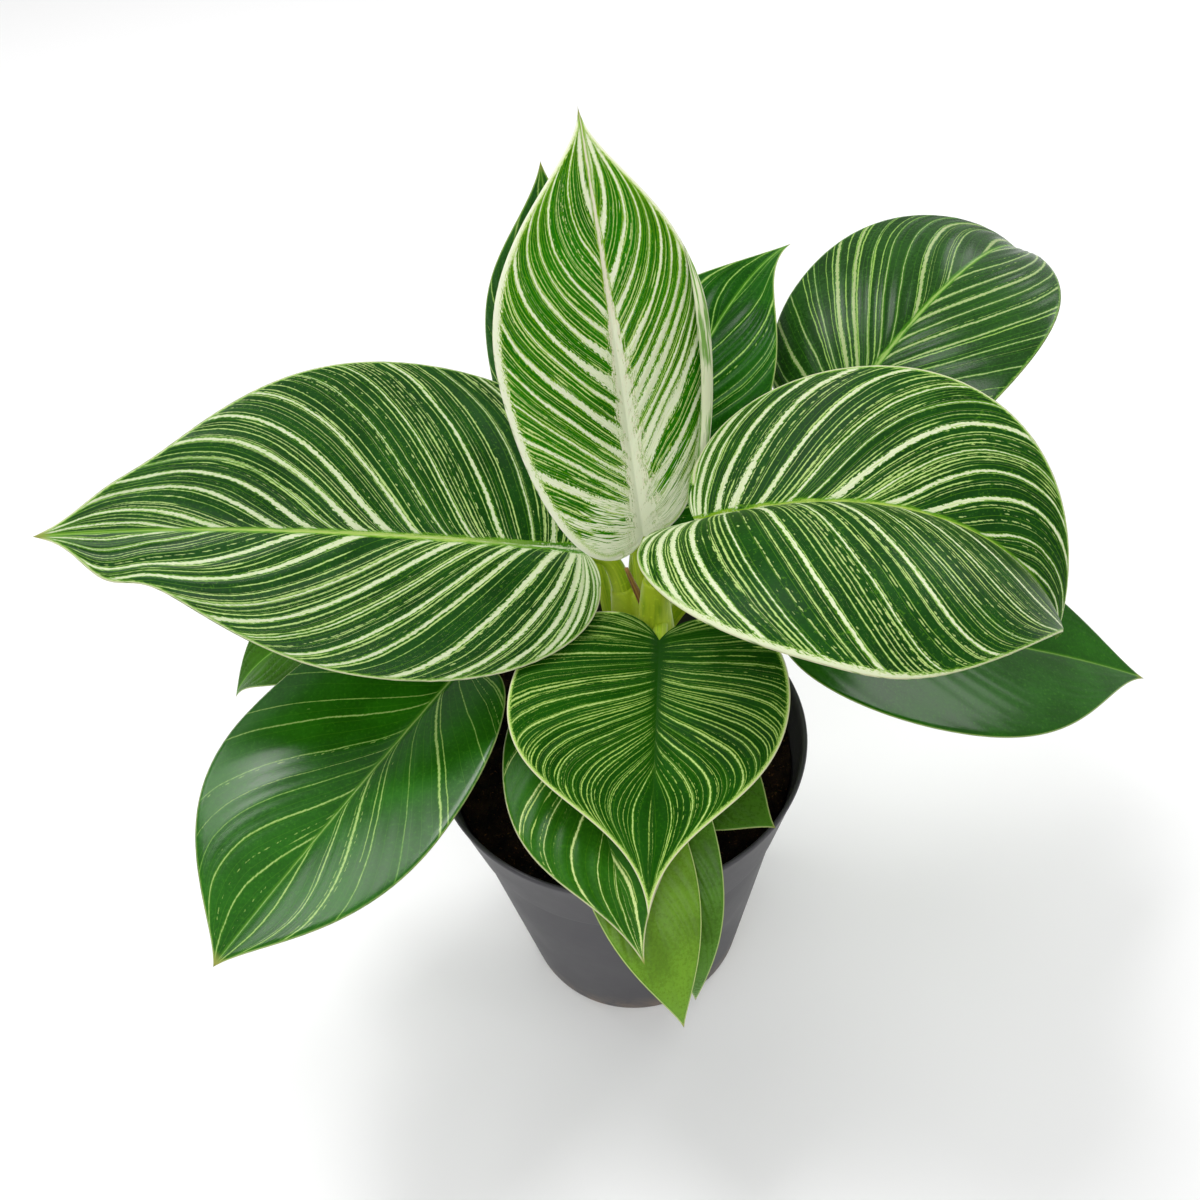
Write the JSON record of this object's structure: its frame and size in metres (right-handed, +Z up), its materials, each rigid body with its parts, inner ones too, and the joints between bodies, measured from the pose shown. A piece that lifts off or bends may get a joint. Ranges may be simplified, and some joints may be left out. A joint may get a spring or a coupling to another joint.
{
  "type": "potted foliage plant",
  "caption": "Aroid house plant with cream-striped pointed leaves on green stalks, growing in a round tapered black nursery pot filled with soil.",
  "frame": {"origin": "centre of the pot's flat underside, on the surface that the pot stands on", "axes": "+Z up through the pot; +Y towards the back of the plant, away from the picture's viewer; +X towards the viewer's right"},
  "size_m": [0.3376, 0.213, 0.2925],
  "materials": {
    "young_blade": "young leaf, mostly cream with green dashes, satin",
    "striped_blade": "dark green leaf with cream stripes along the side veins, satin",
    "plain_blade": "green leaf with few faint stripes, glossy",
    "petiole": "pale yellow-green leaf stalk, satin",
    "cataphyll": "dry red-brown sheath edge",
    "stem": "green stem with leaf sheaths, satin",
    "soil": "dark crumbly potting soil, matte",
    "pot": "dark grey-black thin plastic, satin"
  },
  "bodies": {
    "root": {"leaf_01": "young_blade", "petiole_01": "petiole", "leaf_02": "striped_blade", "petiole_02": "petiole", "leaf_03": "striped_blade", "petiole_03": "petiole", "leaf_04": "striped_blade", "petiole_04": "petiole", "leaf_05": "striped_blade", "petiole_05": "petiole", "leaf_06": "plain_blade", "petiole_06": "petiole", "leaf_07": "plain_blade", "petiole_07": "petiole", "leaf_08": "plain_blade", "petiole_08": "petiole", "leaf_09": "striped_blade", "petiole_09": "petiole", "leaf_10": "plain_blade", "petiole_10": "petiole", "leaf_11": "plain_blade", "petiole_11": "petiole", "leaf_12": "plain_blade", "petiole_12": "petiole", "leaf_13": "plain_blade", "petiole_13": "petiole", "leaf_14": "plain_blade", "petiole_14": "petiole", "cataphyll": "cataphyll", "stem": "stem", "soil": "soil", "pot": "pot"}
  },
  "joints": []
}
